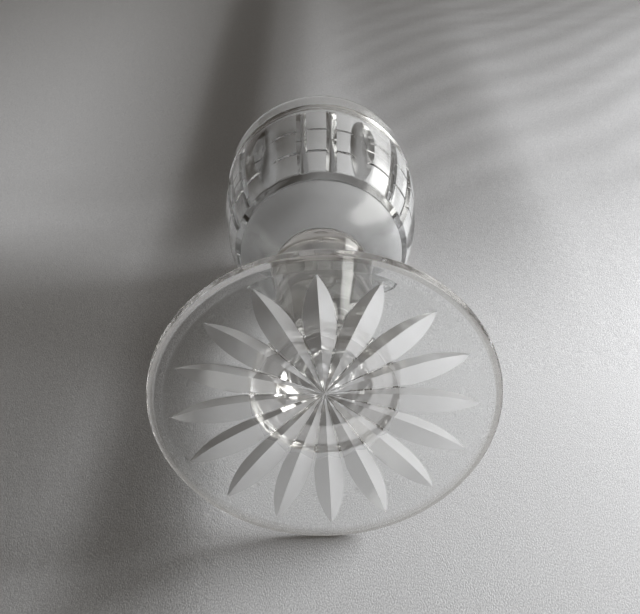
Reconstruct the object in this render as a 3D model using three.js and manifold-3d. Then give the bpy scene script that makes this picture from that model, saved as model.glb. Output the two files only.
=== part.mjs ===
// Cut-glass wine goblet, standing upright on its foot. Millimetres, +Z up, axis on the Z line.
// Four gathers of clear glass, fused one on top of the other: foot, collar, stem and bowl.
// The cuts are made as on the real glass, by taking tools away from the finished blanks.
import * as THREE from 'three';
import { mergeVertices } from 'three/addons/utils/BufferGeometryUtils.js';
import Module from 'manifold-3d';

const wasm = await Module();
wasm.setup();

// Heights of the fused faces and of the lip, above the table
const COLLAR_BASE_Z = 6.2;
const COLLAR_TOP_Z = 10.4;
const BOWL_BASE_Z = 59.4;
const LIP_Z = 115;

// Radii that neighbouring gathers share
const COLLAR_RADIUS = 15.2;
const STEM_ROOT = 10.7;
const STEM_TOP = 9.6;

// Dish under the foot, inside the ring that it rests on
const REST_INNER = 31.6;
const DISH_HEIGHT = 4.2;
const DISH_POWER = 1.25;
const DISH_STEPS = 5;

// Outer profile of the foot, [radius, height], from the rest ring round the rim and up to the collar
const FOOT_OUTSIDE = [
  [33.4, 0],
  [34.4, 0.3],
  [35, 1.1],
  [34.6, 1.8],
  [33.6, 2.1],
  [27, 3.35],
  [20, 4.9],
  [15.8, 5.9],
  [COLLAR_RADIUS, COLLAR_BASE_Z],
];

// Star under the foot. Each ray is a V-shaped valley, deepest part of the way out, with a pointed tip
const STAR_RAYS = 16;
const STAR_TURN = -1.8;
const STAR_TIP = 30.6;
const STAR_OUTSIDE = 32.5;
const STAR_DEPTH = 1.7;
const STAR_DEEPEST = 19;
const STAR_INNER_SHARE = 0.3;
const STAR_FULLNESS = 2.4;
const STAR_SLOPE = 29;
const STAR_STEPS = 16;
const STAR_CENTRE = [[-0.4, 5.5], [3, 5.45]];
const STAR_LEVELS = [8, 13, 16, STAR_DEEPEST, 22, 25, 28, STAR_TIP, STAR_OUTSIDE];

// Profile of the collar, from the foot up to its flat top
const COLLAR_SIDE = [
  [COLLAR_RADIUS, COLLAR_BASE_Z],
  [COLLAR_RADIUS + 0.15, COLLAR_BASE_Z + 0.9],
  [COLLAR_RADIUS + 0.15, COLLAR_TOP_Z - 1.4],
  [COLLAR_RADIUS - 0.3, COLLAR_TOP_Z - 0.4],
  [COLLAR_RADIUS - 1.2, COLLAR_TOP_Z],
];

// Profile of the stem, from the collar to the bowl, with its waist at 21 mm and its shoulder at 56.2 mm
const STEM_SIDE = [
  [STEM_ROOT, COLLAR_TOP_Z],
  [8.4, 14.4],
  [7.6, 21],
  [8.4, 32],
  [10.3, 44.5],
  [12, 52.5],
  [12.4, 56.2],
  [11.5, 58.6],
  [STEM_TOP, BOWL_BASE_Z],
];

// Profiles of the bowl: outside from the stem to the lip ring, round the lip, and inside down to the bottom
const LIP_RADIUS = 27.7;
const LIP_ROUND = 0.8;
const BOWL_OUTSIDE = [
  [STEM_TOP, BOWL_BASE_Z],
  [13.6, 60.1],
  [18.9, 62.9],
  [21.9, 66.7],
  [23.9, 71.6],
  [25.6, 79],
  [27.1, 89.5],
  [LIP_RADIUS, 101],
];
const LIP_EDGE = [
  [LIP_RADIUS, LIP_Z - LIP_ROUND],
  [LIP_RADIUS - 0.4, LIP_Z - 0.2],
  [LIP_RADIUS - 1, LIP_Z],
  [LIP_RADIUS - 1.6, LIP_Z - 0.2],
  [LIP_RADIUS - 2, LIP_Z - LIP_ROUND],
];
const BOWL_INSIDE = [
  [25.1, 104],
  [24.3, 95],
  [23.6, 87],
  [22.5, 80],
  [20.7, 74],
  [17.6, 69.2],
  [13, 66.1],
  [7, 64.7],
  [0, 64.4],
];

// Rings cut right round the bowl: V-shaped border and grid lines, and a shallow hollow below the lip
const RINGS = [
  { z: 66.8, width: 2.6, depth: 0.85 },
  { z: 76.3, width: 1, depth: 0.4 },
  { z: 87.5, width: 1, depth: 0.4 },
];
const LIP_RING = { z: 103, width: 6, depth: 0.8, steps: 4 };
const RING_MARGIN = 0.5;

// Six grid panels, each with a pair of upright mitres, and a flute between each two panels.
// FLUTE_TURN is how far the flutes stand off the middle between two panels
const PANELS = 6;
const PANEL_TURN = -1.3;
const MITRE_OFFSET = 8.8;
const MITRE_REACH = [68.2, 100.6];
const MITRE_DEPTH = 0.85;
const MITRE_HALF_WIDTH = 1.4;
const MITRE_LEVELS = 5;
const MITRE_STEPS = 8;
const FLUTE_TURN = -2.2;
const FLUTE_REACH = [67.2, 98];
const FLUTE_DEPTH = 0.75;
const FLUTE_WHEEL = 13;
const FLUTE_TOOL_HALF = 6;
const FLUTE_ARC_STEPS = 10;
const FLUTE_STEPS = 14;
const FLUTE_SHARES = [-1.1, -1, -0.75, -0.5, -0.25, 0, 0.25, 0.5, 0.75, 1, 1.1];

// Cutting tools stand this far out of the glass
const TOOL_HEIGHT = 4;

const FOOT_SEGMENTS = 96;
const STEM_SEGMENTS = 60;
const BOWL_SEGMENTS = 72;
const WELD = 1e-4;

const radians = THREE.MathUtils.degToRad;

const glass = (name, colour) => new THREE.MeshStandardMaterial({
  name,
  color: new THREE.Color(colour),
  roughness: 0.05,
  metalness: 0,
});

// Evenly spread values from 0 to 1, both among them
const shares = (steps) => Array.from({ length: steps + 1 }, (_, i) => i / steps);

// Azimuths of cuts spread evenly round the goblet, in degrees
const turns = (count, first) => Array.from({ length: count }, (_, i) => first + i * 360 / count);

const curveThrough = (points) => new THREE.CatmullRomCurve3(
  points.map(([radius, height]) => new THREE.Vector3(radius, 0, height)),
);

// A smooth profile through [radius, height] points, sampled twice between each two of them
function smooth(points) {
  return curveThrough(points).getPoints(2 * (points.length - 1)).map((point) => [point.x, point.z]);
}

// A body turned about Z from [radius, height] points that start and end on the axis
function revolve(points, segments) {
  const profile = points.map(([radius, height]) => new THREE.Vector2(radius, height));
  return toSolid(new THREE.LatheGeometry(profile, segments).rotateX(Math.PI / 2));
}

function toSolid(geometry) {
  const bare = new THREE.BufferGeometry();
  bare.setAttribute('position', geometry.getAttribute('position'));
  if (geometry.index) bare.setIndex(geometry.index);
  const merged = mergeVertices(bare, WELD);
  return new wasm.Manifold(new wasm.Mesh({
    numProp: 3,
    vertProperties: new Float32Array(merged.getAttribute('position').array),
    triVerts: new Uint32Array(merged.index.array),
  }));
}

function toMesh(solid, name, material) {
  const { vertProperties, triVerts } = solid.getMesh();
  const geometry = new THREE.BufferGeometry();
  geometry.setAttribute('position', new THREE.BufferAttribute(new Float32Array(vertProperties), 3));
  geometry.setIndex(new THREE.BufferAttribute(new Uint32Array(triVerts), 1));
  geometry.computeVertexNormals();
  const mesh = new THREE.Mesh(geometry, material);
  mesh.name = name;
  return mesh;
}

// A cutting tool: a cross-section (x along the surface, y outwards, its edge at y = 0) swept along
// the valley line of the cut, given as [radius, height] points, then turned about the axis
function cutter(section, valley, steps, turn) {
  const tool = new THREE.ExtrudeGeometry(section, { steps, extrudePath: curveThrough(valley) });
  return toSolid(tool.rotateZ(radians(turn - 90)));
}

// V-shaped edge of a mitre wheel. spread is its half width per unit of depth
function mitreSection(spread) {
  const reach = TOOL_HEIGHT * spread;
  return new THREE.Shape([
    new THREE.Vector2(0, 0),
    new THREE.Vector2(reach, TOOL_HEIGHT),
    new THREE.Vector2(-reach, TOOL_HEIGHT),
  ]);
}

// Rounded edge of a flute wheel
function fluteSection() {
  const arc = shares(FLUTE_ARC_STEPS).map((share) => {
    const x = FLUTE_TOOL_HALF * (2 * share - 1);
    return new THREE.Vector2(x, FLUTE_WHEEL - Math.sqrt(FLUTE_WHEEL * FLUTE_WHEEL - x * x));
  });
  const top = [FLUTE_TOOL_HALF, -FLUTE_TOOL_HALF].map((x) => new THREE.Vector2(x, TOOL_HEIGHT));
  return new THREE.Shape([...arc, ...top]);
}

// Height of the dished underside of the foot
const dishZ = (radius) => DISH_HEIGHT * (1 - (radius / REST_INNER) ** DISH_POWER);

function footBlank() {
  const dish = shares(DISH_STEPS).map((share) => [REST_INNER * share, dishZ(REST_INNER * share)]);
  return revolve([...dish, ...FOOT_OUTSIDE, [0, COLLAR_BASE_Z]], FOOT_SEGMENTS);
}

// How far the valley of a ray lies above the dish
function rayDepth(radius) {
  if (radius < STAR_DEEPEST) return STAR_DEPTH * (1 - STAR_INNER_SHARE * (1 - radius / STAR_DEEPEST) ** 2);
  return STAR_DEPTH * (1 - ((radius - STAR_DEEPEST) / (STAR_TIP - STAR_DEEPEST)) ** STAR_FULLNESS);
}

function foot() {
  const valley = [...STAR_CENTRE, ...STAR_LEVELS.map((radius) => [radius, dishZ(radius) + rayDepth(radius)])];
  const section = mitreSection(1 / Math.tan(radians(STAR_SLOPE)));
  const rays = turns(STAR_RAYS, STAR_TURN).map((turn) => cutter(section, valley, STAR_STEPS, turn));
  return rays.reduce((solid, ray) => solid.subtract(ray), footBlank());
}

function collar() {
  return revolve([[0, COLLAR_BASE_Z], ...COLLAR_SIDE, [0, COLLAR_TOP_Z]], STEM_SEGMENTS);
}

function stem() {
  return revolve([[0, COLLAR_TOP_Z], ...smooth(STEM_SIDE), [0, BOWL_BASE_Z]], STEM_SEGMENTS);
}

const bowlOutside = smooth(BOWL_OUTSIDE);

// Radius of the uncut outside of the bowl at a height
function bowlRadius(height) {
  const above = bowlOutside.findIndex(([, z]) => z >= height);
  if (above < 1) return LIP_RADIUS;
  const [lowRadius, lowZ] = bowlOutside[above - 1];
  const [highRadius, highZ] = bowlOutside[above];
  return lowRadius + (highRadius - lowRadius) * (height - lowZ) / (highZ - lowZ);
}

// Profile points of one ring, a V pressed into the outside
function ringPoints({ z, width, depth }) {
  return [
    [bowlRadius(z - width / 2), z - width / 2],
    [bowlRadius(z) - depth, z],
    [bowlRadius(z + width / 2), z + width / 2],
  ];
}

// Profile points of the shallow hollow below the lip
function lipRingPoints({ z, width, depth, steps }) {
  return shares(steps).map((share) => [
    LIP_RADIUS - depth * (1 - (2 * share - 1) ** 2),
    z + (share - 0.5) * width,
  ]);
}

function bowlBlank() {
  const near = (ring, z) => Math.abs(z - ring.z) < ring.width / 2 + RING_MARGIN;
  const plain = bowlOutside.filter(([, z]) => ![...RINGS, LIP_RING].some((ring) => near(ring, z)));
  const outside = [...plain, ...RINGS.flatMap(ringPoints)].sort((a, b) => a[1] - b[1]);
  return revolve(
    [[0, BOWL_BASE_Z], ...outside, ...lipRingPoints(LIP_RING), ...LIP_EDGE, ...BOWL_INSIDE],
    BOWL_SEGMENTS,
  );
}

function mitres() {
  const [low, high] = MITRE_REACH;
  const levels = shares(MITRE_LEVELS).map((share) => low + share * (high - low));
  const valley = levels.map((z) => [bowlRadius(z) - MITRE_DEPTH, z]);
  const section = mitreSection(MITRE_HALF_WIDTH / MITRE_DEPTH);
  const pair = [PANEL_TURN - MITRE_OFFSET, PANEL_TURN + MITRE_OFFSET];
  const azimuths = pair.flatMap((first) => turns(PANELS, first));
  return azimuths.map((turn) => cutter(section, valley, MITRE_STEPS, turn));
}

// The flutes run out at both ends, blunt at the top and more pointed below
function flutes() {
  const [low, high] = FLUTE_REACH;
  const valley = FLUTE_SHARES.map((share) => {
    const z = (low + high) / 2 + share * (high - low) / 2;
    return [bowlRadius(z) - FLUTE_DEPTH * (1 - Math.abs(share) ** (share < 0 ? 2 : 3)), z];
  });
  const first = PANEL_TURN + 180 / PANELS + FLUTE_TURN;
  return turns(PANELS, first).map((turn) => cutter(fluteSection(), valley, FLUTE_STEPS, turn));
}

function bowl() {
  return [...mitres(), ...flutes()].reduce((solid, tool) => solid.subtract(tool), bowlBlank());
}

const group = new THREE.Group();
group.name = 'wine_goblet';
group.add(
  toMesh(foot(), 'foot', glass('foot_glass', '#dfe6e6')),
  toMesh(collar(), 'collar', glass('collar_glass', '#d3dcdc')),
  toMesh(stem(), 'stem', glass('stem_glass', '#dae2e2')),
  toMesh(bowl(), 'bowl', glass('bowl_glass', '#e4ebeb')),
);

export default group;
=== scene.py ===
"""Cut-glass wine goblet: foot, collar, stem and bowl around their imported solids, and a cloth stage."""
import math

import bpy
import numpy as np
from bpy.props import FloatProperty, FloatVectorProperty, PointerProperty
from mathutils import Matrix, Vector


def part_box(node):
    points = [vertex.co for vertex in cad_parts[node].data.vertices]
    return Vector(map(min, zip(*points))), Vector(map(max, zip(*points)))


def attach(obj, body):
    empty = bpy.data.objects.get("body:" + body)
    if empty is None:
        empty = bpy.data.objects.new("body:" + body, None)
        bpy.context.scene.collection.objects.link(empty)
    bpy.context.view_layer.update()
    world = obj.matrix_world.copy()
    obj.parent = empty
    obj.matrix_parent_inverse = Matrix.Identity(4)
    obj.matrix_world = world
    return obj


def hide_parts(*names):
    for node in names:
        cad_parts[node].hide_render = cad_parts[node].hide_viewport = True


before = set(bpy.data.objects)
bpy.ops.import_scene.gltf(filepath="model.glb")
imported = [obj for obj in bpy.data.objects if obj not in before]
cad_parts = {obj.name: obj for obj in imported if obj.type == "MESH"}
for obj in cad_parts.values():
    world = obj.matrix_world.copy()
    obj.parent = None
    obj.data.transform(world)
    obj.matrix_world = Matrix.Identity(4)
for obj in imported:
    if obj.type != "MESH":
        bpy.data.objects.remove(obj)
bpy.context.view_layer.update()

bl_info = {
    "name": "Cut-glass wine goblet",
    "version": (1, 0, 0),
    "blender": (4, 5, 0),
    "location": "3D View > Sidebar > Goblet",
    "description": "Makes the pieces of a cut-glass wine goblet, and the stage it lies on",
    "category": "Add Mesh",
}

MM = 0.001

# Heights in millimetres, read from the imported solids
COLLAR_BASE = round(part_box("collar")[0].z / MM, 3)
COLLAR_TOP = round(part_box("collar")[1].z / MM, 3)
BOWL_BASE = round(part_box("bowl")[0].z / MM, 3)
FOOT_RADIUS = round(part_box("foot")[1].x / MM, 3)

# Columns round every skin, the same on each piece so that neighbours meet point on point
AROUND = 288
# Points along the profiles
FINE_POINTS = 900
VALLEY_POINTS = 400
RIM_POINTS = 36
FOOT_TOP_POINTS = 50
COLLAR_POINTS = 36
STEM_POINTS = 110
INSIDE_POINTS = 80
# Neighbouring faces that turn more than this, in degrees, meet in a sharp edge
SHARP_FROM = 16

# Places of the finishes among the materials of every piece, of the foot, and of the bowl
CLEAR, JOINT = 0, 1
GROUND, RIM_EDGE, FINE_GROUND = 2, 3, 4
# On the bowl, the cut slot and the worn base slot hold glass darkened as painted shade
WORN, CUT, WORN_BASE_PAINTED_SHADE = 2, 3, 4

# Foot: dished underside, rest ring and rim, in millimetres
REST_INNER = 31.6
DISH_HEIGHT = 4.2
DISH_POWER = 1.25
REST_OUTER = 33.4
RIM = ((33.4, 0), (34.4, 0.3), (35, 1.1), (34.6, 1.8), (33.6, 2.1))
FOOT_TOP = ((33.6, 2.1), (27, 3.35), (20, 4.9), (15.8, 5.9), (15.2, COLLAR_BASE))

# Star of ground rays under the foot
RAYS = 16
RAY_TURN = -1.8
RAY_TIP = 30.6
RAY_DEPTH = 1.7
RAY_DEEPEST = 19
RAY_INNER_SHARE = 0.3
RAY_FULLNESS = 2.4
RAY_SLOPE = math.tan(math.radians(29))
RAY_LEAST_ANGLE = 0.35
RAY_MOST_SHARE = 0.9
STAR_CENTRE = ((-0.4, 5.5), (3, 5.45))
VALLEY_RADII = (8, 13, 16, RAY_DEEPEST, 22, 25, 28, RAY_TIP, 32.5)
STAR_RINGS = (0.35, 3, 8, 13, RAY_DEEPEST, 26, RAY_TIP, REST_INNER)
STAR_PITCH = 0.4
# Inside this radius the facets are ground finer
FINE_WITHIN = 15

# Collar and stem profiles, [radius, height]
COLLAR_RADIUS = 15.2
STEM_ROOT = 10.7
STEM_TOP = 9.6
COLLAR_SIDE = (
    (COLLAR_RADIUS, COLLAR_BASE),
    (COLLAR_RADIUS + 0.15, COLLAR_BASE + 0.9),
    (COLLAR_RADIUS + 0.15, COLLAR_TOP - 1.4),
    (COLLAR_RADIUS - 0.3, COLLAR_TOP - 0.4),
    (COLLAR_RADIUS - 1.2, COLLAR_TOP),
)
STEM_SIDE = (
    (STEM_ROOT, COLLAR_TOP),
    (8.4, 14.4),
    (7.6, 21),
    (8.4, 32),
    (10.3, 44.5),
    (12, 52.5),
    (12.4, 56.2),
    (11.5, 58.6),
    (STEM_TOP, BOWL_BASE),
)

# Bowl profiles, outside from the stem to the lip and inside from the lip to the middle
LIP_BASE = 114.2
LIP_OUTER = 27.7
BOWL_FLOOR = 64.4
BOWL_OUTSIDE = (
    (STEM_TOP, BOWL_BASE),
    (13.6, 60.1),
    (18.9, 62.9),
    (21.9, 66.7),
    (23.9, 71.6),
    (25.6, 79),
    (27.1, 89.5),
    (LIP_OUTER, 101),
    (LIP_OUTER, LIP_BASE),
)
BOWL_INSIDE = (
    (25.7, LIP_BASE),
    (25.1, 104),
    (24.3, 95),
    (23.6, 87),
    (22.5, 80),
    (20.7, 74),
    (17.6, 69.2),
    (13, 66.1),
    (7, 64.7),
    (0.3, BOWL_FLOOR),
)
LIP_ROUND = (1.0, 0.8)

# Cut band of the bowl: rings as middle, width and depth, pairs of upright mitres, and flutes
PANELS = 6
PANEL_TURN = -1.3
RINGS = ((66.8, 2.6, 0.85), (76.3, 1.0, 0.4), (87.5, 1.0, 0.4))
LIP_RING = (103, 6, 0.8)
MITRE_OFFSET = 8.8
MITRE_REACH = (67.6, 101.2)
MITRE_DEPTH = 0.85
MITRE_HALF_WIDTH = 1.4
MITRE_ROUNDING = 0.5
MITRE_RUN_OUT = 1.2
FLUTE_TURN = -2.2
FLUTE_REACH = (67.2, 98)
FLUTE_DEPTH = 0.75
FLUTE_WHEEL = 13
FLUTE_LEAST_ANGLE = 1.2
FLUTE_WIDEST = FLUTE_WHEEL * 0.7

# How far polishing rounds the edges of the star and of the band, in millimetres
STAR_POLISH = 0.07
BAND_POLISH = 0.15
# The outside of the bowl counts as cut, and takes the cut glass darkened as painted shade, where it lies
# deeper than this
CUT_FROM = 0.05

# Share of the light that each glass gives back, and how much warmer than clear glass it looks. The cut and
# base shares are painted shade: they darken the cuts and the lower bowl
RIM_TONE = (0.78, 0.03)
COLLAR_TONE = (0.88, 0.03)
STEM_TONE = (0.7, 0.04)
BAND_TONE = (0.76, 0)
CUT_PAINTED_SHADE = (0.4, 0)
BASE_PAINTED_SHADE = (0.48, 0)

# Light that the glass lets through to what lies behind it, face on and at its edges
BODY_SHADE = (0.72, 0.32)
FOOT_SHADE = (0.6, 0.3)
RIM_SHADE = (0.12, 0.04)
SHADE_BETWEEN = 0.9
# Share of the light that the ground facets of the star scatter
GROUND_SCATTER = 0.47
FINE_SCATTER = 0.27
# Scales of the waves, wheel marks and smears on the glass, and how high the waves stand in metres
WAVE_SCALE = 70
MARK_SCALE = 900
SMEAR_SCALE = 95
POLISH_RELIEF = 0.0002

# Weave of the cloth: how dark and light its threads are, their lean, scales and relief in metres
THREAD_DARK = (0.80, 0.80, 0.81)
THREAD_LIGHT = (1.16, 1.16, 1.15)
TWILL_LEAN = math.radians(28)
TWILL_SCALE = 3600
TWILL_STRETCH = (1, 0.6, 1)
CLOUD_SCALE = 260
WEAVE_RELIEF = 0.00022

# The cloth touches the rim and the lip of the goblet. Sizes in metres, and where each sheet thins out
RIM_REST = Vector((0, 0.03508, 0.0011))
LIP_REST = Vector((0, 0.02778, 0.1142))
CLOTH_MIDDLE = 0.12
CLOTH_SIZE = 1.8
CLOTH_STEPS = 360
CLOTH_FADE = (0.55, 0.88)
FLOOR_SIZE = 1.4
FLOOR_FADE = (0.3, 0.65)

# Walls of the room, from the far side along X to the side of the window
WALL_REACH = (-0.35, 0.45)
WALL_FAR = (0.05, 0.041, 0.032, 1)
WALL_NEAR = (0.34, 0.322, 0.295, 1)
WALL_STRENGTH = 0.8
PALE_ROOM = (0.5, 0.5, 0.5, 1)

# The window as glass sees it: from nothing to full along X, and along Y by X at its sill and its head
WINDOW_GLOW = 5.0
WINDOW_COLOUR = (1, 1, 0.97, 1)
WINDOW_JAMB = (0.55, 0.8)
WINDOW_SILL = (-0.1, -0.25)
WINDOW_HEAD = (-0.95, -0.7)
# Through the glass the window is dimmer, and it is wider there and, along Z, low down
WINDOW_THROUGH = 0.5
WINDOW_WIDER = 0.25
WINDOW_LOW = (0.85, 0.65)

# Lamps: place, aim, size, power in watts, colour
WINDOW_LAMP = ((0.36, -0.085, 0.065), (0.0, 0.02, 0.05), (0.14, 0.2), 3.2, (0.975, 0.985, 1))
CEILING_LAMP = ((0.10, -0.45, 0.55), (0, 0, 0.03), (0.6, 0.6), 0.12, (0.95, 0.98, 1))

# The camera fitted to the photograph
CAMERA_PLACE = (0, -0.103374, -0.132075)
CAMERA_RIGHT = (0.99973797, 0.02098327, -0.0091489)
CAMERA_UP = (0.0226953, -0.85642588, 0.51577092)
CAMERA_BACK = (0.0029872, -0.5158434, -0.85667769)
CAMERA_LENS = 47.756
CAMERA_SENSOR = 36


def spline(points, count):
    """Points spread evenly along a smooth curve through the given ones."""
    p = np.array(points, float)
    knots = np.concatenate([[0], np.cumsum(np.linalg.norm(np.diff(p, axis=0), axis=1) ** 0.5)])
    ends = np.concatenate([[2 * p[0] - p[1]], p, [2 * p[-1] - p[-2]]])
    t = np.concatenate([[2 * knots[0] - knots[1]], knots, [2 * knots[-1] - knots[-2]]])
    slopes = []
    for i in range(1, len(ends) - 1):
        before, after = t[i] - t[i - 1], t[i + 1] - t[i]
        rise_before, rise_after = (ends[i] - ends[i - 1]) / before, (ends[i + 1] - ends[i]) / after
        slopes.append((rise_before * after + rise_after * before) / (before + after))
    slopes = np.array(slopes)
    fine = []
    for i in range(len(p) - 1):
        s = np.linspace(0, 1, 40, endpoint=False)[:, None]
        step = knots[i + 1] - knots[i]
        fine.append(
            (2 * s**3 - 3 * s**2 + 1) * p[i]
            + (s**3 - 2 * s**2 + s) * step * slopes[i]
            + (3 * s**2 - 2 * s**3) * p[i + 1]
            + (s**3 - s**2) * step * slopes[i + 1]
        )
    fine = np.vstack([*fine, p[-1:]])
    along = np.concatenate([[0], np.cumsum(np.linalg.norm(np.diff(fine, axis=0), axis=1))])
    places = np.linspace(0, along[-1], count)
    return np.stack([np.interp(places, along, fine[:, axis]) for axis in (0, 1)], axis=1)


def stops(places, pitch):
    """Values from the first place to the last, no further apart than pitch, with every place among them."""
    out = [places[0]]
    for low, high in zip(places, places[1:]):
        steps = max(1, math.ceil(abs(high - low) / pitch))
        out += [low + (high - low) * i / steps for i in range(1, steps + 1)]
    return np.array(out)


def soft_low(a, b, rounding):
    """The lower of two surfaces, with the edge between them rounded over."""
    blend = np.maximum(rounding - np.abs(a - b), 0) / rounding
    return np.minimum(a, b) - blend * blend * rounding / 4


def ring(radius, height, azimuth):
    """Points of one ring in metres. Azimuth runs from -Y towards +X, in degrees."""
    turn = np.radians(azimuth)
    radius = np.broadcast_to(radius, turn.shape)
    height = np.broadcast_to(height, turn.shape)
    return np.stack([radius * np.sin(turn), -radius * np.cos(turn), height], axis=1) * MM


def skin(name, rows, finishes):
    """A closed mesh between rows of points, a single point at each pole, with each strip's material index."""
    starts = np.cumsum([0] + [len(row) for row in rows])
    faces, finish = [], []
    for i, (low, high) in enumerate(zip(rows, rows[1:])):
        here = starts[i] + np.arange(len(low))
        there = starts[i + 1] + np.arange(len(high))
        if len(low) == 1:
            faces += [(here[0], there[j - 1], there[j]) for j in range(len(high))]
        elif len(high) == 1:
            faces += [(here[j], here[j - 1], there[0]) for j in range(len(low))]
        else:
            faces += [(here[j], here[j - 1], there[j - 1], there[j]) for j in range(len(low))]
        count = max(len(low), len(high))
        finish += list(np.broadcast_to(finishes[i], count))
    mesh = bpy.data.meshes.new(name)
    mesh.from_pydata(np.vstack(rows).tolist(), [], [tuple(int(v) for v in f) for f in faces])
    mesh.polygons.foreach_set("material_index", np.array(finish, np.int32))
    mesh.validate()
    mesh.update()
    if enclosed(mesh) < 0:
        mesh.flip_normals()
    mesh.shade_smooth()
    mesh.set_sharp_from_angle(angle=math.radians(SHARP_FROM))
    piece = bpy.data.objects.new(name, mesh)
    bpy.context.scene.collection.objects.link(piece)
    return piece


def enclosed(mesh):
    """Volume inside a closed mesh, negative where its faces point inwards."""
    mesh.calc_loop_triangles()
    points = np.empty(len(mesh.vertices) * 3)
    mesh.vertices.foreach_get("co", points)
    corners = np.empty(len(mesh.loop_triangles) * 3, np.int32)
    mesh.loop_triangles.foreach_get("vertices", corners)
    a, b, c = points.reshape(-1, 3)[corners.reshape(-1, 3)].transpose(1, 0, 2)
    return float(np.einsum("ij,ij->", a, np.cross(b, c))) / 6


def settle(piece, node, materials):
    """Gives a piece its materials, and lets it stand for its solid."""
    for material in materials:
        piece.data.materials.append(material)
    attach(piece, "root")
    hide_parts(node)


EVEN = np.arange(AROUND) * 360 / AROUND


def dish_height(radius):
    """Height of the plain dish under the foot."""
    return DISH_HEIGHT * (1 - (np.asarray(radius, float) / REST_INNER) ** DISH_POWER)


def ray_depth(radius):
    """How far the valley of a ray lies above the dish."""
    if radius < RAY_DEEPEST:
        return RAY_DEPTH * (1 - RAY_INNER_SHARE * (1 - radius / RAY_DEEPEST) ** 2)
    return RAY_DEPTH * (1 - ((radius - RAY_DEEPEST) / (RAY_TIP - RAY_DEEPEST)) ** RAY_FULLNESS)


def ray_half_angle(radius):
    """Half the angle that a ray takes at a radius, held inside its share of the circle."""
    width = max(float(ray_depth(radius)), 0) / RAY_SLOPE
    half = math.degrees(math.asin(min(width / radius, 1)))
    return min(max(half, RAY_LEAST_ANGLE), 180 / RAYS * RAY_MOST_SHARE)


def star_azimuths(radius):
    """Columns of the underside: five steps across half a ray, and four on to the next ray's share."""
    edge = ray_half_angle(radius)
    share = 180 / RAYS
    half = np.concatenate([np.linspace(0, edge, 6), np.linspace(edge, share, 5)[1:]])
    unit = np.concatenate([half[:-1], 2 * share - half[:0:-1]])
    return (np.arange(RAYS)[:, None] * 2 * share + unit).ravel() + RAY_TURN


def foot_rows(sizes):
    """Rows of the foot from the star's centre, round the rim and over the top, and each strip's finish."""
    outer = [(r, float(dish_height(r) + ray_depth(r))) for r in VALLEY_RADII]
    valley = spline([*STAR_CENTRE, *outer], VALLEY_POINTS)
    rows = [np.array([[0, 0, STAR_CENTRE[0][1] * MM]])]
    finishes = []
    for radius in stops(STAR_RINGS, STAR_PITCH):
        azimuth = star_azimuths(radius)
        off = (azimuth - RAY_TURN + 180 / RAYS) % (360 / RAYS) - 180 / RAYS
        along = radius * np.cos(np.radians(off))
        across = np.abs(radius * np.sin(np.radians(off)))
        cut = np.interp(along, valley[:, 0], valley[:, 1]) - RAY_SLOPE * across
        height = -soft_low(-dish_height(radius), -cut, STAR_POLISH * sizes.polish)
        rows.append(ring(radius, np.maximum(height, 0), azimuth))
        middle = (np.abs(off) + np.abs(np.roll(off, 1))) / 2
        in_ray = (middle < ray_half_angle(radius)) & (radius < RAY_TIP)
        finishes.append(np.where(in_ray, GROUND if radius > FINE_WITHIN else FINE_GROUND, CLEAR))
    # The columns spread out evenly across the flat ring that the foot rests on
    settled = star_azimuths(REST_INNER)
    shift = (EVEN - settled + 180) % 360 - 180
    for share in stops((0, 1), 0.1)[1:]:
        rows.append(ring(REST_INNER + (REST_OUTER - REST_INNER) * share, 0, settled + shift * share))
        finishes.append(CLEAR)
    for radius, height in spline(RIM, RIM_POINTS)[1:]:
        rows.append(ring(min(radius, FOOT_RADIUS), max(height, 0), EVEN))
        finishes.append(RIM_EDGE)
    for radius, height in spline(FOOT_TOP, FOOT_TOP_POINTS)[1:]:
        rows.append(ring(radius, height, EVEN))
        finishes.append(CLEAR)
    rows.append(np.array([[0, 0, COLLAR_BASE * MM]]))
    finishes.append(JOINT)
    return rows, finishes


def turned_rows(side, count):
    """Rows of a turned piece, with flat fused faces across both its ends."""
    rows = [np.array([[0, 0, side[0][1] * MM]])]
    rows += [ring(radius, height, EVEN) for radius, height in spline(side, count)]
    rows.append(np.array([[0, 0, side[-1][1] * MM]]))
    return rows, [JOINT] + [CLEAR] * (len(rows) - 3) + [JOINT]


def collar_rows():
    """Rows of the collar, whose top face runs in to the foot of the stem."""
    side = spline(COLLAR_SIDE, COLLAR_POINTS)
    top = [(r, COLLAR_TOP) for r in stops((COLLAR_SIDE[-1][0], STEM_ROOT), 0.5)[1:]]
    rows = [np.array([[0, 0, COLLAR_BASE * MM]])]
    rows += [ring(radius, min(height, COLLAR_TOP), EVEN) for radius, height in [*side, *top]]
    rows.append(np.array([[0, 0, COLLAR_TOP * MM]]))
    return rows, [JOINT] + [CLEAR] * (len(rows) - 3) + [JOINT]


OUTSIDE = spline(BOWL_OUTSIDE, FINE_POINTS)


def bowl_radius(height):
    """Radius of the uncut outside of the bowl."""
    return float(np.interp(height, OUTSIDE[:, 1], OUTSIDE[:, 0]))


def flute_bed(height):
    """How deep a flute's bed lies at a height."""
    low, high = FLUTE_REACH
    share = (height - (low + high) / 2) / ((high - low) / 2)
    return FLUTE_DEPTH * (1 - abs(share) ** (2 if share < 0 else 3))


def flute_half_angle(height):
    """Half the angle that a flute takes at a height."""
    bed, radius = flute_bed(height), bowl_radius(height)
    width = math.sqrt(max(bed, 0) / (0.5 / radius + 0.5 / FLUTE_WHEEL))
    return max(math.degrees(math.asin(width / radius)), FLUTE_LEAST_ANGLE)


def mitre_bed(height):
    """How deep an upright mitre lies at a height. It runs out at both ends."""
    low, high = MITRE_REACH
    return MITRE_DEPTH * min(1, max(0, min(height - low, high - height) / MITRE_RUN_OUT))


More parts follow.
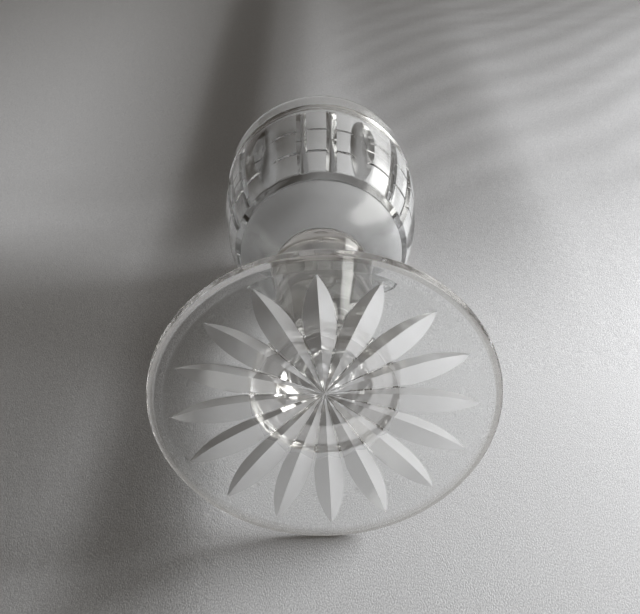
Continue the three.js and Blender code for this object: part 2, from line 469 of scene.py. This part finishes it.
def panel_azimuths(height):
    """Columns of the cut band, which follow the edges of the mitres and flutes."""
    radius = bowl_radius(height)
    reach = math.degrees(MITRE_HALF_WIDTH / radius)
    edge = 180 / PANELS - flute_half_angle(height)
    near, far = MITRE_OFFSET - reach, MITRE_OFFSET + reach
    spans = ((0, near, 5), (near, MITRE_OFFSET, 3), (MITRE_OFFSET, far, 3), (far, edge, 5),
             (edge, 180 / PANELS, 8))
    half = np.concatenate([[0], *[np.linspace(low, high, steps + 1)[1:] for low, high, steps in spans]])
    # The columns lean over towards the flutes, which stand off the middle between two panels
    lean = FLUTE_TURN * eased(half, MITRE_OFFSET + 3, 18)
    unit = np.concatenate([(half + lean)[:-1], (360 / PANELS - half + lean)[:0:-1]])
    return (np.arange(PANELS)[:, None] * 360 / PANELS + unit).ravel() + PANEL_TURN


def cut_radius(height, azimuth, polish):
    """Radius of the cut outside of the bowl along one ring of columns."""
    plain = bowl_radius(height)
    surface = np.full(azimuth.shape, plain)
    off = (azimuth - PANEL_TURN + 180 / PANELS) % (360 / PANELS) - 180 / PANELS
    for centre in (-MITRE_OFFSET, MITRE_OFFSET):
        turn = np.radians(off - centre)
        across = np.abs(plain * np.sin(turn))
        bed = mitre_bed(height)
        if bed > 0:
            blunt = np.sqrt(across**2 + MITRE_ROUNDING**2) - MITRE_ROUNDING
            steep = MITRE_DEPTH / (math.hypot(MITRE_HALF_WIDTH, MITRE_ROUNDING) - MITRE_ROUNDING)
            groove = plain - bed + steep * blunt
            surface = soft_low(surface, np.where(np.abs(turn) < 0.5, groove, plain + 1), polish)
    if flute_bed(height) > 0:
        turn = np.radians((off - FLUTE_TURN + 360 / PANELS) % (360 / PANELS) - 180 / PANELS)
        across = np.abs(plain * np.sin(turn))
        inside = np.minimum(across, FLUTE_WIDEST)
        bed = plain - flute_bed(height) + FLUTE_WHEEL - np.sqrt(FLUTE_WHEEL**2 - inside**2)
        surface = soft_low(surface, np.where(across < FLUTE_WIDEST, bed / np.cos(turn), plain + 1), polish)
    for middle, width, depth in RINGS:
        near = 1 - 2 * abs(height - middle) / width
        if near > 0:
            surface = soft_low(surface, plain - depth * near, polish)
    middle, width, depth = LIP_RING
    near = 1 - (2 * (height - middle) / width) ** 2
    if near > 0:
        surface = np.minimum(surface, plain - depth * near)
    return surface


def bowl_rows(sizes):
    """Rows of the bowl up its cut outside, over the lip and down the inside, and each strip's finish."""
    rows = [np.array([[0, 0, BOWL_BASE * MM]])]
    base = [point for point in OUTSIDE[::12] if point[1] < RINGS[0][0] - RINGS[0][1] / 2 - 0.2]
    shift = (panel_azimuths(RINGS[0][0]) - EVEN + 180) % 360 - 180
    for i, (radius, height) in enumerate(base):
        rows.append(ring(radius, height, EVEN + shift * i / (len(base) - 1)))
    border, lower, upper = [(middle - width / 2, middle, middle + width / 2) for middle, width, _ in RINGS]
    # Heights that the rows of the band pass, and how far apart they stand there at most
    legs = (
        ((*border, 70), 0.3),
        ((70, lower[0]), 0.6),
        (lower, 0.2),
        ((lower[2], upper[0]), 0.6),
        (upper, 0.2),
        ((upper[2], 93), 0.6),
        ((93, FLUTE_REACH[1], 100), 0.25),
        ((100, 103, 106), 0.3),
        ((106, LIP_BASE), 0.8),
    )
    levels = np.concatenate([*[stops(places, pitch)[:-1] for places, pitch in legs], [LIP_BASE]])
    finishes = [JOINT] + [WORN_BASE_PAINTED_SHADE] * (len(base) - 1)
    depth = 0
    for height in levels:
        azimuth = panel_azimuths(height)
        radius = cut_radius(height, azimuth, BAND_POLISH * sizes.polish)
        rows.append(ring(radius, height, azimuth))
        below, depth = depth, bowl_radius(height) - np.minimum(radius, np.roll(radius, 1))
        # Below the border ring the worn base glass, and in the cuts the cut glass, are both darkened as
        # painted shade
        band = WORN if height > RINGS[0][0] else WORN_BASE_PAINTED_SHADE
        cut = np.maximum(below, depth) > CUT_FROM
        if height < LIP_RING[0] - LIP_RING[1] / 2:
            finishes.append(np.where(cut, CUT, band))
        else:
            finishes.append(CLEAR)
    across, up = LIP_ROUND
    azimuth = panel_azimuths(LIP_BASE)
    for turn in np.radians(stops((0, 180), 12))[1:-1]:
        radius = LIP_OUTER - across + across * math.cos(turn)
        rows.append(ring(radius, LIP_BASE + up * math.sin(turn), azimuth))
    for radius, height in spline(BOWL_INSIDE, INSIDE_POINTS):
        rows.append(ring(radius, height, azimuth))
    rows.append(np.array([[0, 0, BOWL_FLOOR * MM]]))
    return rows, finishes + [CLEAR] * (len(rows) - 1 - len(finishes))


# Materials

def node(tree, kind, inputs=(), **values):
    """A new shader node. inputs gives its sockets values, or other sockets to link from."""
    made = tree.nodes.new(kind)
    for key, value in values.items():
        setattr(made, key, value)
    for socket, value in dict(inputs).items():
        if isinstance(value, bpy.types.NodeSocket):
            tree.links.new(value, made.inputs[socket])
        else:
            made.inputs[socket].default_value = value
    return made


def maths(tree, operation, *values):
    """The result of a Math node over values and sockets."""
    return node(tree, "ShaderNodeMath", enumerate(values), operation=operation).outputs[0]


def ramp(tree, value, start, end, least=0, most=1, kind="LINEAR"):
    """A socket that goes from least to most as a value goes from start to end."""
    reach = {"Value": value, "From Min": start, "From Max": end, "To Min": least, "To Max": most}
    return node(tree, "ShaderNodeMapRange", reach, interpolation_type=kind).outputs["Result"]


def colours(tree, share, first, second):
    """A colour between two others."""
    ends = {"Factor": share, "A": first, "B": second}
    return node(tree, "ShaderNodeMix", ends, data_type="RGBA").outputs["Result"]


def shaders(tree, share, first, second):
    """A shader between two others, given as nodes."""
    return node(tree, "ShaderNodeMixShader", {0: share, 1: first.outputs[0], 2: second.outputs[0]})


def noise(tree, place, scale, detail):
    """A noise texture's values at a place."""
    made = node(tree, "ShaderNodeTexNoise", {"Vector": place, "Scale": scale, "Detail": detail})
    return made.outputs["Fac"]


def grey(level):
    """A plain grey."""
    return (level, level, level, 1)


def bare_material(name):
    """A new material without nodes, and its tree."""
    material = bpy.data.materials.new(name)
    material.use_nodes = True
    material.node_tree.nodes.clear()
    return material, material.node_tree


def hand_polish_group():
    """Slow waves and fine wheel marks left on glass that was worked by hand."""
    name = "Hand polish"
    if name in bpy.data.node_groups:
        return bpy.data.node_groups[name]
    tree = bpy.data.node_groups.new(name, "ShaderNodeTree")
    tree.interface.new_socket("Vector", in_out="INPUT", socket_type="NodeSocketVector")
    for label, default in (("Wave Height", 0.5), ("Mark Height", 0.1), ("Least Roughness", 0.0),
                           ("Most Roughness", 0.05)):
        socket = tree.interface.new_socket(label, in_out="INPUT", socket_type="NodeSocketFloat")
        socket.default_value = default
    for label in ("Height", "Roughness"):
        tree.interface.new_socket(label, in_out="OUTPUT", socket_type="NodeSocketFloat")
    given = node(tree, "NodeGroupInput").outputs
    waves = maths(tree, "MULTIPLY", noise(tree, given["Vector"], WAVE_SCALE, 1.5), given["Wave Height"])
    marks = maths(tree, "MULTIPLY", noise(tree, given["Vector"], MARK_SCALE, 3), given["Mark Height"])
    smears = noise(tree, given["Vector"], SMEAR_SCALE, 5)
    rough = ramp(tree, smears, 0.35, 0.75, given["Least Roughness"], given["Most Roughness"])
    node(tree, "NodeGroupOutput", {"Height": maths(tree, "ADD", waves, marks), "Roughness": rough})
    return tree


def glass(name, finish, tone=(1, 0), rough=(0, 0.04), waves=0.5, marks=0.0, shade=BODY_SHADE, scatter=0.0,
          wear=0.0):
    """Lead glass that bends light. Lamps and light between plain surfaces pass straight through, dimmed."""
    material, tree = bare_material(name)
    share, warmth = tone
    tint = [share * channel * (1 - warmth * step) for step, channel in enumerate(finish.glass)]
    polish = node(tree, "ShaderNodeGroup", {
        "Vector": node(tree, "ShaderNodeTexCoord").outputs["Object"],
        "Wave Height": waves,
        "Mark Height": marks,
        "Least Roughness": rough[0],
        "Most Roughness": rough[1],
    }, node_tree=hand_polish_group())
    relief = {"Strength": 1, "Distance": POLISH_RELIEF, "Height": polish.outputs["Height"]}
    body = node(tree, "ShaderNodeBsdfPrincipled", {
        "Base Color": (*tint, 1),
        "Transmission Weight": 1 - wear,
        "IOR": finish.bending,
        "Roughness": polish.outputs["Roughness"],
        "Normal": node(tree, "ShaderNodeBump", relief).outputs["Normal"],
    })
    if scatter:
        body = shaders(tree, scatter, body, node(tree, "ShaderNodeBsdfTranslucent", {"Color": grey(0.95)}))
    path = node(tree, "ShaderNodeLightPath").outputs
    edge = node(tree, "ShaderNodeLayerWeight", {"Blend": 0.35}).outputs["Facing"]
    dimmed = colours(tree, edge, grey(shade[0]), grey(shade[1]))
    between = colours(tree, path["Is Diffuse Ray"], dimmed, grey(SHADE_BETWEEN))
    through = node(tree, "ShaderNodeBsdfTransparent", {"Color": between})
    straight = maths(tree, "MAXIMUM", path["Is Shadow Ray"], path["Is Diffuse Ray"])
    mix = shaders(tree, straight, body, through)
    node(tree, "ShaderNodeOutputMaterial", {"Surface": mix.outputs[0]})
    return material


def fused_joint():
    """The faces where two gathers were fused, which no light notices."""
    name = "fused_joint"
    if name in bpy.data.materials:
        return bpy.data.materials[name]
    material, tree = bare_material(name)
    clear = node(tree, "ShaderNodeBsdfTransparent")
    node(tree, "ShaderNodeOutputMaterial", {"Surface": clear.outputs[0]})
    return material


def cloth_material(name, colour, fade):
    """Pale woven cloth, seen from its face alone, that thins out to nothing towards its edges."""
    material, tree = bare_material(name)
    place = node(tree, "ShaderNodeTexCoord").outputs["Object"]
    lean = node(tree, "ShaderNodeMapping", {
        "Vector": place, "Rotation": (0, 0, TWILL_LEAN), "Scale": TWILL_STRETCH}).outputs["Vector"]
    twill = noise(tree, lean, TWILL_SCALE, 1)
    height = maths(tree, "ADD", twill, noise(tree, place, CLOUD_SCALE, 6))
    dark, light = [(*[share * channel for share, channel in zip(thread, colour)], 1)
                   for thread in (THREAD_DARK, THREAD_LIGHT)]
    relief = {"Strength": 0.35, "Distance": WEAVE_RELIEF, "Height": height}
    weave = node(tree, "ShaderNodeBsdfPrincipled", {
        "Base Color": colours(tree, ramp(tree, twill, 0.3, 0.7), dark, light),
        "Roughness": 0.95,
        "Specular IOR Level": 0.15,
        "Normal": node(tree, "ShaderNodeBump", relief).outputs["Normal"],
    })
    far = node(tree, "ShaderNodeVectorMath", {0: place}, operation="LENGTH").outputs["Value"]
    back = node(tree, "ShaderNodeNewGeometry").outputs["Backfacing"]
    gone = maths(tree, "MAXIMUM", ramp(tree, far, *fade, kind="SMOOTHSTEP"), back)
    mix = shaders(tree, gone, weave, node(tree, "ShaderNodeBsdfTransparent"))
    node(tree, "ShaderNodeOutputMaterial", {"Surface": mix.outputs[0]})
    return material


# Stage

def sheet(name, size, steps, lift):
    """A flat or gently rolling square sheet in its own XY plane, facing its own +Z."""
    along = np.linspace(-size / 2, size / 2, steps)
    x, y = np.meshgrid(along, along)
    points = np.stack([x, y, lift(x, y)], axis=2).reshape(-1, 3)
    index = np.arange(steps * steps).reshape(steps, steps)
    faces = np.stack([index[:-1, :-1], index[:-1, 1:], index[1:, 1:], index[1:, :-1]], axis=2).reshape(-1, 4)
    mesh = bpy.data.meshes.new(name)
    mesh.from_pydata(points.tolist(), [], faces.tolist())
    mesh.shade_smooth()
    made = bpy.data.objects.new(name, mesh)
    bpy.context.scene.collection.objects.link(made)
    return made


def eased(value, low, high):
    """A step from 0 to 1 between two values, soft at both ends."""
    share = np.clip((value - low) / (high - low), 0, 1)
    return share * share * (3 - 2 * share)


def folds(x, y):
    """Height of the cloth in metres, with x to the left of the goblet and y along it towards the lip.

    It falls away left of the goblet, rises to its right, and drops into a long fold beyond it.
    """
    beside = eased(y, -0.06, -0.02) * (1 - eased(y, 0.05, 0.1))
    fall = -0.0075 * (1 - 0.4 * beside) * eased(x, 0.024, 0.062)
    fall -= (0.009 - 0.0075 * eased(y, -0.1, -0.02)) * eased(x, 0.04, 0.12)
    fall *= 0.3 + 0.7 * eased(y, -0.15, -0.115)
    rise = 0.009 * eased(-x, 0.01, 0.08) + 0.012 * eased(-x, 0.05, 0.18)
    rise *= eased(y, -0.07, 0.03) * (1 - 0.45 * eased(y, 0.08, 0.3))
    fold = -0.010 * eased(x, 0.0, 0.065) + 0.016 * eased(x, 0.07, 0.24)
    rolls = 0.0009 * np.sin(21 * x + 9 * y + 1.0) + 0.0007 * np.sin(-13 * x + 23 * y + 2.1)
    creases = 0.00016 * np.sin(150 * x + 210 * y + 2 * np.sin(40 * x))
    creases += 0.00012 * np.sin(-90 * x + 320 * y + 2 * np.sin(55 * y))
    creases *= 0.2 + 0.8 * eased(-x, -0.03, 0.08)
    return fall + rise + eased(y, -0.01, 0.05) * (fold + rolls + creases)


def lamp(name, place, aim, size, power, colour):
    """A soft square lamp that looks at a point."""
    data = bpy.data.lights.new(name, "AREA")
    data.shape = "RECTANGLE"
    data.size, data.size_y = size
    data.energy = power
    data.color = colour
    made = bpy.data.objects.new(name, data)
    made.location = place
    made.rotation_mode = "QUATERNION"
    made.rotation_quaternion = (Vector(aim) - Vector(place)).to_track_quat("-Z", "Y")
    bpy.context.scene.collection.objects.link(made)
    return made


class GobletSizes(bpy.types.PropertyGroup):
    """Sizes of the dressed goblet that a user may change."""

    polish: FloatProperty(
        name="Edge Polish", description="How far the edges of the cuts are rounded by polishing",
        default=1.0, min=0.1, max=3.0, subtype="FACTOR")


class GobletFinish(bpy.types.PropertyGroup):
    """Colours and finishes of the glass, and of the cloth it lies on."""

    glass: FloatVectorProperty(
        name="Glass Tint", description="Colour that the clear glass gives to light", subtype="COLOR",
        size=3, min=0, max=1, default=(0.965, 0.972, 0.968))
    bending: FloatProperty(
        name="Index of Refraction", description="How strongly the lead glass bends light",
        default=1.54, min=1.4, max=1.8)
    facets: FloatProperty(
        name="Facet Roughness", description="Roughness of the ground facets of the star",
        default=0.09, min=0, max=1)
    wear: FloatProperty(
        name="Wear", description="Share of light that the worn outside of the bowl scatters",
        default=0.3, min=0, max=1)
    cloth: FloatVectorProperty(
        name="Cloth", description="Colour of the woven cloth", subtype="COLOR",
        size=3, min=0, max=1, default=(0.60, 0.60, 0.605))


class GOBLET_OT_foot(bpy.types.Operator):
    """Makes the dished foot with the star ground into its underside."""

    bl_idname = "goblet.make_foot"
    bl_label = "Foot"

    def execute(self, context):
        finish = context.scene.goblet_finish
        facets = finish.facets
        settle(skin("foot_glass", *foot_rows(context.scene.goblet_sizes)), "foot", (
            glass("foot_clear", finish, rough=(0, 0.03), waves=0.25, shade=FOOT_SHADE),
            fused_joint(),
            glass("star_ground", finish, rough=(facets * 0.6, facets * 1.4), waves=0.3, marks=0.12,
                  shade=FOOT_SHADE, scatter=GROUND_SCATTER),
            glass("foot_rim", finish, RIM_TONE, rough=(0, 0.03), waves=0.06, shade=RIM_SHADE),
            glass("star_inner", finish, rough=(0, facets * 0.3), waves=0.3, marks=0.12,
                  shade=FOOT_SHADE, scatter=FINE_SCATTER),
        ))
        return {"FINISHED"}


class GOBLET_OT_collar(bpy.types.Operator):
    """Makes the flat round collar between foot and stem."""

    bl_idname = "goblet.make_collar"
    bl_label = "Collar"

    def execute(self, context):
        clear = glass("collar_clear", context.scene.goblet_finish, COLLAR_TONE, rough=(0, 0.01), waves=0.3)
        settle(skin("collar_glass", *collar_rows()), "collar", (clear, fused_joint()))
        return {"FINISHED"}


class GOBLET_OT_stem(bpy.types.Operator):
    """Makes the solid baluster stem."""

    bl_idname = "goblet.make_stem"
    bl_label = "Stem"

    def execute(self, context):
        clear = glass("stem_clear", context.scene.goblet_finish, STEM_TONE, rough=(0, 0.01))
        settle(skin("stem_glass", *turned_rows(STEM_SIDE, STEM_POINTS)), "stem", (clear, fused_joint()))
        return {"FINISHED"}


class GOBLET_OT_bowl(bpy.types.Operator):
    """Makes the hollow bowl with its cut band of rings, mitres and flutes."""

    bl_idname = "goblet.make_bowl"
    bl_label = "Bowl"

    def execute(self, context):
        finish = context.scene.goblet_finish
        settle(skin("bowl_glass", *bowl_rows(context.scene.goblet_sizes)), "bowl", (
            glass("bowl_clear", finish),
            fused_joint(),
            glass("bowl_worn", finish, BAND_TONE, rough=(0.06, 0.14), wear=finish.wear),
            # The cut glass is darkened as painted shade in the flutes, mitres and rings
            glass("bowl_cut", finish, CUT_PAINTED_SHADE, rough=(0.06, 0.16)),
            # The base glass is worn, and also darkened as painted shade on the lower bowl
            glass("bowl_base", finish, BASE_PAINTED_SHADE, rough=(0.1, 0.22), wear=finish.wear),
        ))
        return {"FINISHED"}


class GOBLET_OT_stage(bpy.types.Operator):
    """Lays the cloth, and sets the lamps, the room and the camera."""

    bl_idname = "goblet.make_stage"
    bl_label = "Stage"

    def execute(self, context):
        scene = context.scene
        colour = scene.goblet_finish.cloth
        # The goblet lies on the cloth on its rim and its lip, so in its own frame the cloth stands behind it
        along = (LIP_REST - RIM_REST).normalized()
        face = Vector((0, -along.z, along.y))
        cloth = sheet("cloth", CLOTH_SIZE, CLOTH_STEPS, folds)
        turn = Matrix((Vector((-1, 0, 0)), along, face)).transposed().to_4x4()
        cloth.matrix_world = Matrix.Translation(RIM_REST + along * CLOTH_MIDDLE) @ turn
        cloth.data.materials.append(cloth_material("cloth_weave", colour, CLOTH_FADE))
        # A floor for views of the goblet upright, which neither lights it nor shows in its glass
        ground = sheet("floor", FLOOR_SIZE, 2, lambda x, y: 0 * x)
        ground.data.materials.append(cloth_material("floor_weave", colour, FLOOR_FADE))
        for way in ("visible_diffuse", "visible_glossy", "visible_transmission", "visible_shadow"):
            setattr(ground, way, False)
        window = lamp("window", *WINDOW_LAMP)
        window.visible_glossy = False
        window.visible_transmission = False
        lamp("ceiling", *CEILING_LAMP)
        self.room(scene)
        self.camera(scene)
        scene.view_settings.view_transform = "Standard"
        scene.cycles.transparent_max_bounces = 32
        scene.cycles.max_bounces = 64
        scene.cycles.transmission_bounces = 64
        scene.cycles.glossy_bounces = 64
        return {"FINISHED"}

    def room(self, scene):
        """The room around, lighter towards the window, and pale where the camera sees it straight."""
        world = bpy.data.worlds.new("room")
        scene.world = world
        world.use_nodes = True
        tree = world.node_tree
        tree.nodes.clear()
        place = node(tree, "ShaderNodeTexCoord").outputs["Generated"]
        way = node(tree, "ShaderNodeSeparateXYZ", {0: place}).outputs
        path = node(tree, "ShaderNodeLightPath").outputs
        nearness = ramp(tree, way["X"], *WALL_REACH, kind="SMOOTHSTEP")
        walls = node(tree, "ShaderNodeBackground", {
            "Color": colours(tree, nearness, WALL_FAR, WALL_NEAR), "Strength": WALL_STRENGTH})
        # A long window in a wall beyond +X. A direction's rise over that wall is -Y by X
        wider = maths(tree, "MAXIMUM", path["Is Transmission Ray"], ramp(tree, way["Z"], *WINDOW_LOW))
        across = maths(tree, "MULTIPLY_ADD", wider, WINDOW_WIDER, way["X"])
        pane = ramp(tree, across, *WINDOW_JAMB, most=WINDOW_GLOW, kind="SMOOTHSTEP")
        rise = maths(tree, "DIVIDE", way["Y"], way["X"])
        for edge in (WINDOW_SILL, WINDOW_HEAD):
            pane = maths(tree, "MULTIPLY", pane, ramp(tree, rise, *edge, kind="SMOOTHSTEP"))
        # Glass alone sees it, dimmer through the glass than off its surface
        dimmed = ramp(tree, path["Is Transmission Ray"], 0, 1, 1, WINDOW_THROUGH)
        seen = maths(tree, "MULTIPLY", path["Is Glossy Ray"], dimmed)
        window = node(tree, "ShaderNodeBackground", {
            "Color": WINDOW_COLOUR, "Strength": maths(tree, "MULTIPLY", seen, pane)})
        lit = node(tree, "ShaderNodeAddShader", {0: walls.outputs[0], 1: window.outputs[0]})
        pale = node(tree, "ShaderNodeBackground", {"Color": PALE_ROOM})
        mix = shaders(tree, path["Is Camera Ray"], lit, pale)
        node(tree, "ShaderNodeOutputWorld", {"Surface": mix.outputs[0]})

    def camera(self, scene):
        """The photograph's own viewpoint, below the foot and looking up along the goblet."""
        data = bpy.data.cameras.new("camera")
        data.sensor_width = CAMERA_SENSOR
        data.lens = CAMERA_LENS
        data.clip_start = 0.005
        data.clip_end = 20
        made = bpy.data.objects.new("camera", data)
        turn = Matrix((CAMERA_RIGHT, CAMERA_UP, CAMERA_BACK)).transposed().to_4x4()
        made.matrix_world = Matrix.Translation(CAMERA_PLACE) @ turn
        scene.collection.objects.link(made)
        scene.camera = made


class GOBLET_PT_pieces(bpy.types.Panel):
    """Lists what the add-on makes, with the sizes and colours that may be changed."""

    bl_idname = "GOBLET_PT_pieces"
    bl_label = "Wine Goblet"
    bl_space_type = "VIEW_3D"
    bl_region_type = "UI"
    bl_category = "Goblet"

    def draw(self, context):
        layout = self.layout
        for maker in MAKERS:
            layout.operator(maker.bl_idname)
        layout.prop(context.scene.goblet_sizes, "polish")
        for name in ("glass", "bending", "facets", "wear", "cloth"):
            layout.prop(context.scene.goblet_finish, name)


MAKERS = (GOBLET_OT_foot, GOBLET_OT_collar, GOBLET_OT_stem, GOBLET_OT_bowl, GOBLET_OT_stage)
CLASSES = (GobletSizes, GobletFinish, *MAKERS, GOBLET_PT_pieces)


def register():
    for made in CLASSES:
        bpy.utils.register_class(made)
    bpy.types.Scene.goblet_sizes = PointerProperty(type=GobletSizes)
    bpy.types.Scene.goblet_finish = PointerProperty(type=GobletFinish)


def unregister():
    del bpy.types.Scene.goblet_finish
    del bpy.types.Scene.goblet_sizes
    for made in reversed(CLASSES):
        bpy.utils.unregister_class(made)


def main():
    register()
    bpy.ops.goblet.make_foot()
    bpy.ops.goblet.make_collar()
    bpy.ops.goblet.make_stem()
    bpy.ops.goblet.make_bowl()
    bpy.ops.goblet.make_stage()


if __name__ == "__main__":
    main()
